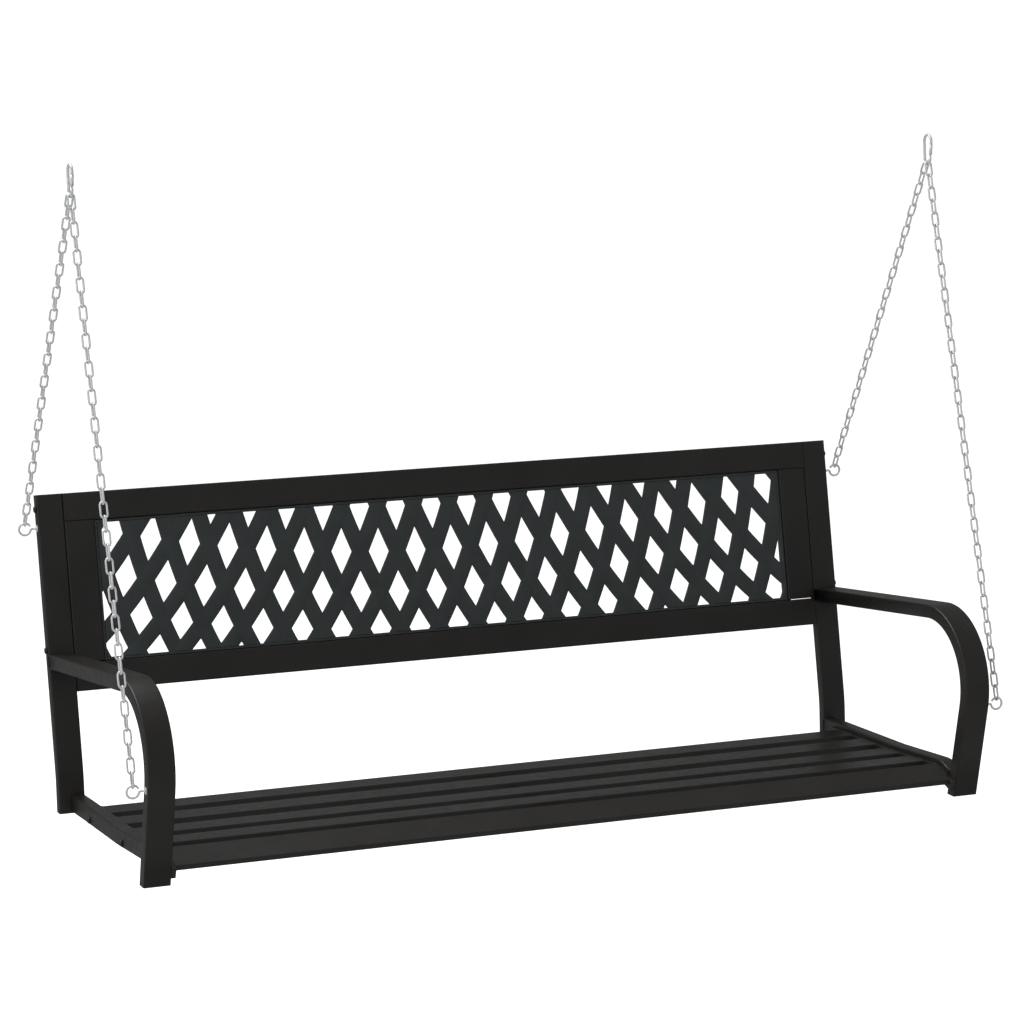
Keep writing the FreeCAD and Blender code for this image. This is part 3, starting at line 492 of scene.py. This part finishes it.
set_place = new_node(tree, "GeometryNodeSetPosition", {
    "Geometry": lost_kept.outputs[0], "Position": fan_place.outputs[0]})
lost_read = new_node(tree, "GeometryNodeInputNamedAttribute", {"Name": "lost"}, data_type="FLOAT")
kept = new_node(tree, "GeometryNodeDeleteGeometry", {
    "Geometry": set_place.outputs[0],
    "Selection": calculate(tree, "GREATER_THAN", lost_read.outputs[0], 0.5)}, domain="FACE")
end_tree(tree, kept.outputs[0], given["Material"])
lattice_tree = tree

# dark blue-grey plastic, with a fine grain along each strap
lattice_plastic, tree, shader, place = new_material("lattice_plastic")
tone = speckle(tree, place, 25.0, 3.0)
tree.links.new(two_tone(tree, tone, (0.0150, 0.0195, 0.0195, 1), (0.0185, 0.0235, 0.0238, 1)),
               shader.inputs["Base Color"])
tree.links.new(speckle(tree, place, 90.0, 3.0, 0.44, 0.56), shader.inputs["Roughness"])
long_grain = new_node(tree, "ShaderNodeMapping", {"Vector": place, "Scale": (1.0, 1.0, 0.16)})
fibres = speckle(tree, long_grain.outputs[0], 1100.0, 3.0)
waves = relief(tree, speckle(tree, place, 240.0, 2.0), 0.00010)
tree.links.new(relief(tree, fibres, 0.00007, waves), shader.inputs["Normal"])

straps = grow(lattice_tree, "lattice_straps_mesh", {
    "Half pitch": half_pitch, "Row step": row_step, "Row growth": row_growth,
    "Fan radius": fan_radius, "Strap share": strap_share, "Crown": crown, "Weave": weave,
    "Material": lattice_plastic})
cut = bmesh.new()
cut.from_mesh(straps)
inner_half = panel_half - border
inner_low = panel_fit + border - middle_row
inner_high = opening - panel_fit - border - middle_row
limits = (((inner_half, 0, 0), (1, 0, 0)), ((-inner_half, 0, 0), (-1, 0, 0)),
          ((0, inner_high, 0), (0, 1, 0)), ((0, inner_low, 0), (0, -1, 0)))
on_cut = 0.00002             # points this near to a cut lie on it
strap_merge = 0.00001
for point, normal in limits:
    bmesh.ops.bisect_plane(cut, geom=cut.verts[:] + cut.edges[:] + cut.faces[:], dist=on_cut,
                           plane_co=point, plane_no=normal, clear_outer=True)
bmesh.ops.remove_doubles(cut, verts=cut.verts[:], dist=strap_merge)
thick = bmesh.ops.extrude_face_region(cut, geom=cut.faces[:])
for element in thick["geom"]:
    if isinstance(element, bmesh.types.BMVert):
        element.co.z = -panel_depth
for vertex in cut.verts:
    vertex.co = on_panel(vertex.co.x, vertex.co.y + middle_row, -vertex.co.z)


def fan_point(column, row):
    """Place in the panel's plane of a point of the fan, from its middle row."""
    turn = column * half_pitch / fan_radius
    from_top = fan_radius - row_step * row - row_growth / 2 * row ** 2
    return Vector((from_top * math.sin(turn), fan_radius - from_top * math.cos(turn), 0))


def cut_flat(points, point, normal):
    """A convex outline without what lies beyond a line."""
    kept = []
    for before, here in zip(points[-1:] + points[:-1], points):
        before_out = (before - point).dot(normal)
        here_out = (here - point).dot(normal)
        if before_out * here_out < 0:
            kept.append(before.lerp(here, before_out / (before_out - here_out)))
        if here_out <= 0:
            kept.append(here)
    return kept


# slivers of holes that the border leaves are filled, a little below the straps
fill_top, fill_low = 0.0016, 0.0060
fill_overlap = 0.0012        # how far a filling reaches into the straps
least_sliver = 0.0001        # a hole narrower than this needs no filling
least_arm = 0.001            # keeps the growth of a tiny filling within bounds
for column in range(-columns, columns + 1):
    for row in range(-rows_down, rows_up + 1):
        if (column + row) % 2:
            continue
        hole = [fan_point(column - hole_share, row), fan_point(column, row - hole_share),
                fan_point(column + hole_share, row), fan_point(column, row + hole_share)]
        for point, normal in limits:
            hole = cut_flat(hole, Vector(point), Vector(normal))
        if len(hole) < 3:
            continue
        spans = [max(p[i] for p in hole) - min(p[i] for p in hole) for i in (0, 1)]
        if min(spans) > least_hole or min(spans) < least_sliver:
            continue
        centre = sum(hole, Vector()) / len(hole)
        arms = [p - centre for p in hole]
        hole = [centre + arm * (1 + fill_overlap / max(arm.length, least_arm)) for arm in arms]
        front = [cut.verts.new(on_panel(p.x, p.y + middle_row, fill_top)) for p in hole]
        back = [cut.verts.new(on_panel(p.x, p.y + middle_row, fill_low)) for p in hole]
        cut.faces.new(front)
        cut.faces.new(back[::-1])
        for i in range(len(hole)):
            after = (i + 1) % len(hole)
            cut.faces.new((front[i], back[i], back[after], front[after]))


def framed(mesh, limits, depths, width):
    """Adds a rectangular ring to a mesh, inside limits (x, low, high).

    The section is given as points (share of the width inwards, depth).
    """
    x_half, low, high = limits
    rings = []
    for inset, depth in depths:
        inset *= width
        rings.append([mesh.verts.new(on_panel(x, s, depth)) for x, s in (
            (-x_half + inset, low + inset), (x_half - inset, low + inset),
            (x_half - inset, high - inset), (-x_half + inset, high - inset))])
    for ring, following in zip(rings, rings[1:] + rings[:1]):
        for i in range(4):
            mesh.faces.new((ring[i], ring[(i + 1) % 4], following[(i + 1) % 4], following[i]))


flange_width = 0.014
flange_depth = 0.0025
rear_face = rail_depth - recess
edge_round = 0.0009
edge_depth = 0.0009 + edge_round
shoulder_depth = 0.0007 + edge_round * 0.3
face_depth = 0.0004
flange_reach = -flange_width / border
framed(cut, (panel_half, panel_fit, opening - panel_fit),
       ((0, edge_depth), (0.05, shoulder_depth), (0.17, face_depth),
        (0.83, face_depth), (0.95, shoulder_depth), (1.0, edge_depth),
        (1.0, panel_depth), (0.5, panel_depth), (0.5, rear_face + flange_depth),
        (flange_reach, rear_face + flange_depth), (flange_reach, rear_face), (0, rear_face)),
       border)
bmesh.ops.recalc_face_normals(cut, faces=cut.faces[:])
cut.to_mesh(straps)
cut.free()
straps.name = "lattice"
one_finish(straps, lattice_plastic)
shade_smooth(straps, lattice_sharp)
lattice = new_piece("lattice_panel", straps, "bench")
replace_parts(lattice, "back_lattice")

# ---- bolts and screws -----------------------------------------------------------------------
# Black-plated button-head bolts hold the back frame to the posts and the seat to the side rails,
# and small dome-head screws hold the panel's flange to the rails from behind.
plating_metallic = 0.6
black_plate = spotted_finish("black_plate", (0.020, 0.020, 0.021, 1), (0.034, 0.034, 0.036, 1),
                             (400.0, 2.0), (900.0, 2.0, 0.28, 0.42), (2200.0, 1.0), 0.00002,
                             plating_metallic)
for name in ("back_bolts_left", "back_bolts_right", "seat_bolts_left", "seat_bolts_right",
             "panel_screws"):
    smooth_copy(name, black_plate)

# ---- eye hooks ------------------------------------------------------------------------------
# Four eyes of bent steel wire, bright zinc plated, are screwed into threaded inserts in the
# posts and in the front legs.
zinc_plate = spotted_finish("zinc_plate", (0.57, 0.58, 0.59, 1), (0.71, 0.72, 0.73, 1),
                            (220.0, 4.0), (450.0, 3.0, 0.26, 0.36), (900.0, 2.0), 0.000003,
                            plating_metallic)
for side in ("left", "right"):
    smooth_copy("eye_hook_front_" + side, zinc_plate)
    smooth_copy("eye_hook_rear_" + side, zinc_plate)
smooth_copy("eye_inserts", zinc_plate)

# ---- snap hooks -----------------------------------------------------------------------------
# Each end hangs from one snap hook of bent wire, with a hollow gate that turns on a small
# riveted pin and is shut by a coil spring inside it.
for side in ("left", "right"):
    for name in ("snap_hook_", "gate_", "gate_pin_", "gate_spring_"):
        smooth_copy(name + side, zinc_plate)

# ---- chains ---------------------------------------------------------------------------------
# Links of bent steel wire, each closed by a small butt weld on one side and zinc plated, turned
# a quarter turn from one to the next.
link_wire = 0.0035
link_inner_length = 0.02325
link_inner_width = 0.008
link_play = 0.0001
link_gap = 0.0003
front_links = 42
rear_links = 30
nearly_half = 0.4999         # of a link's width, for the bends at its ends
seam_size = 0.54             # the weld's radius, in widths of the wire
seam_length = 0.7            # the weld's length, in its own widths

tree, given = new_tree("chain_links", [
    ("Count", "NodeSocketInt", 2), ("Step", "NodeSocketVector", (0.0, 0.0, 0.0)),
    ("Start", "NodeSocketVector", (0.0, 0.0, 0.0)), ("Lean", "NodeSocketFloat", 0.0),
    ("First turn", "NodeSocketFloat", 0.0), ("Wire", "NodeSocketFloat", link_wire),
    ("Inner length", "NodeSocketFloat", link_inner_length),
    ("Inner width", "NodeSocketFloat", link_inner_width),
    ("Material", "NodeSocketMaterial", None)])
wide = calculate(tree, "ADD", given["Inner width"], given["Wire"])
tall = calculate(tree, "ADD", given["Inner length"], given["Wire"])
oval = new_node(tree, "GeometryNodeCurvePrimitiveQuadrilateral",
                {"Width": wide, "Height": tall})
bent = new_node(tree, "GeometryNodeFilletCurve", {
    "Curve": oval.outputs[0], "Count": 5,
    "Radius": calculate(tree, "MULTIPLY", wide, nearly_half)}, mode="POLY")
wire_round = new_node(tree, "GeometryNodeCurvePrimitiveCircle", {
    "Resolution": 10, "Radius": calculate(tree, "MULTIPLY", given["Wire"], 0.5)})
link = new_node(tree, "GeometryNodeCurveToMesh", {
    "Curve": bent.outputs[0], "Profile Curve": wire_round.outputs[0]})
seam = new_node(tree, "GeometryNodeMeshUVSphere", {
    "Segments": 10, "Rings": 6, "Radius": calculate(tree, "MULTIPLY", given["Wire"], seam_size)})
seam_place = new_node(tree, "ShaderNodeCombineXYZ", {
    0: calculate(tree, "MULTIPLY", wide, 0.5), 1: 0.0, 2: 0.0})
seam_put = new_node(tree, "GeometryNodeTransform", {
    "Geometry": seam.outputs[0], "Translation": seam_place.outputs[0],
    "Scale": (1, seam_length, 1)})
whole_link = new_node(tree, "GeometryNodeJoinGeometry")
tree.links.new(link.outputs[0], whole_link.inputs[0])
tree.links.new(seam_put.outputs[0], whole_link.inputs[0])
smooth_link = new_node(tree, "GeometryNodeSetShadeSmooth", {"Geometry": whole_link.outputs[0]})
places = new_node(tree, "GeometryNodeMeshLine", {
    "Count": given["Count"], "Start Location": given["Start"], "Offset": given["Step"]},
    mode="OFFSET")
leaning = new_node(tree, "ShaderNodeCombineXYZ", {0: given["Lean"], 1: 0.0, 2: 0.0})
hung = new_node(tree, "GeometryNodeInstanceOnPoints", {
    "Points": places.outputs[0], "Instance": smooth_link.outputs[0],
    "Rotation": leaning.outputs[0]})
number = new_node(tree, "GeometryNodeInputIndex").outputs[0]
odd = calculate(tree, "MODULO", number, 2.0)
turn = calculate(tree, "ADD", calculate(tree, "MULTIPLY", odd, math.pi / 2), given["First turn"])
turned = new_node(tree, "GeometryNodeRotateInstances", {
    "Instances": hung.outputs[0],
    "Rotation": new_node(tree, "ShaderNodeCombineXYZ", {0: 0.0, 1: turn, 2: 0.0}).outputs[0],
    "Local Space": True})
end_tree(tree, turned.outputs[0], given["Material"])
chain_tree = tree

joints = {joint["name"]: joint for joint in frame["joints"]}
hook_low = Vector(joints["swing"]["pos_m"])
link_straight = link_inner_length - link_inner_width
chain_pitch = link_straight + link_inner_width - link_play
for side in ("left", "right"):
    for end_name, count in (("front", front_links), ("rear", rear_links)):
        body = "chain_" + end_name + "_" + side
        turn_at = Vector(joints["sway_" + end_name + "_" + side]["pos_m"])
        axis = Vector((0, turn_at.y - hook_low.y, turn_at.z - hook_low.z)).normalized()
        lean = math.atan2(axis.z, axis.y)
        second = turn_at + axis * (link_straight / 2 + link_inner_width - link_gap)
        mesh = grow(chain_tree, body + "_links", {
            "Count": count - 1, "Step": axis * chain_pitch, "Start": second, "Lean": lean,
            "First turn": math.pi / 2, "Wire": link_wire, "Inner length": link_inner_length,
            "Inner width": link_inner_width, "Material": zinc_plate})
        piece = new_piece(body + "_links", mesh, body)
        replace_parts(piece, body)
        top = grow(chain_tree, "top_link_" + end_name + "_" + side, {
            "Count": 1, "Step": axis, "Start": turn_at - axis * (link_straight / 2),
            "Lean": lean, "First turn": 0.0, "Wire": link_wire,
            "Inner length": link_inner_length, "Inner width": link_inner_width,
            "Material": zinc_plate})
        top_piece = new_piece("top_link_" + end_name + "_" + side, top, "top_links")
        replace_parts(top_piece, "top_links_" + side)

# ---- floor, light and camera ----------------------------------------------------------------
# A wide pale floor below the hanging bench, an even white surround and two large soft lights.
floor_drop = 0.70
floor_height = cad_box[0].z - floor_drop
reach_out = 40.0
floor_corners = [(reach_out * i, reach_out * j, floor_height)
                 for i, j in ((-1, -1), (1, -1), (1, 1), (-1, 1))]
floor_mesh = bpy.data.meshes.new("floor")
floor_mesh.from_pydata(floor_corners, [], [(0, 1, 2, 3)])
floor = bpy.data.objects.new("floor", floor_mesh)
bpy.context.scene.collection.objects.link(floor)
# reflections see a darker floor and surround than the eye does, so the black coat stays black
surround, surround_reflected = 1.12, 0.22
floor_paint, tree, shader, place = new_material("floor_paint")
glossy = new_node(tree, "ShaderNodeLightPath").outputs["Is Glossy Ray"]
tree.links.new(two_tone(tree, glossy, (0.95, 0.95, 0.95, 1), (0.17, 0.17, 0.17, 1)),
               shader.inputs["Base Color"])
shader.inputs["Roughness"].default_value = 0.9
shader.inputs["Specular IOR Level"].default_value = 0.0
floor_mesh.materials.append(floor_paint)

world = bpy.data.worlds.new("studio")
bpy.context.scene.world = world
world.use_nodes = True
tree = world.node_tree
background = next(n for n in tree.nodes if n.type == "BACKGROUND")
background.inputs["Color"].default_value = (1, 1, 1, 1)
ray = new_node(tree, "ShaderNodeLightPath")
dim = new_node(tree, "ShaderNodeMapRange", {
    "Value": ray.outputs["Is Glossy Ray"], "To Min": surround, "To Max": surround_reflected})
tree.links.new(dim.outputs["Result"], background.inputs["Strength"])


aim = Vector((0, 0, -0.9))    # near the middle of the bench


def soft_light(name, place, width, height, power):
    """Rectangular light turned to the bench, its size in metres and its power in watts."""
    lamp = bpy.data.lights.new(name, "AREA")
    lamp.shape = "RECTANGLE"
    lamp.size = width
    lamp.size_y = height
    lamp.energy = power
    lamp_object = bpy.data.objects.new(name, lamp)
    lamp_object.location = place
    lamp_object.rotation_mode = "QUATERNION"
    lamp_object.rotation_quaternion = (aim - Vector(place)).to_track_quat("-Z", "Y")
    bpy.context.scene.collection.objects.link(lamp_object)


soft_light("left_light", (-4.2, -1.6, 0.6), 2.6, 2.6, 20)
soft_light("top_light", (-1.9, 1.4, 2.9), 3.6, 2.6, 150)

camera_down, camera_right = 10.4064, 22.6939      # degrees
camera_data = bpy.data.cameras.new("camera")
camera_data.sensor_width = 36.0
camera_data.lens = 127.99
camera = bpy.data.objects.new("camera", camera_data)
camera.location = (-2.42618, -5.76800, 0.51793)
camera.rotation_euler = (math.radians(90 - camera_down), 0, math.radians(-camera_right))
bpy.context.scene.collection.objects.link(camera)
bpy.context.scene.camera = camera
bpy.context.scene.view_settings.view_transform = "Standard"

bpy.context.view_layer.update()
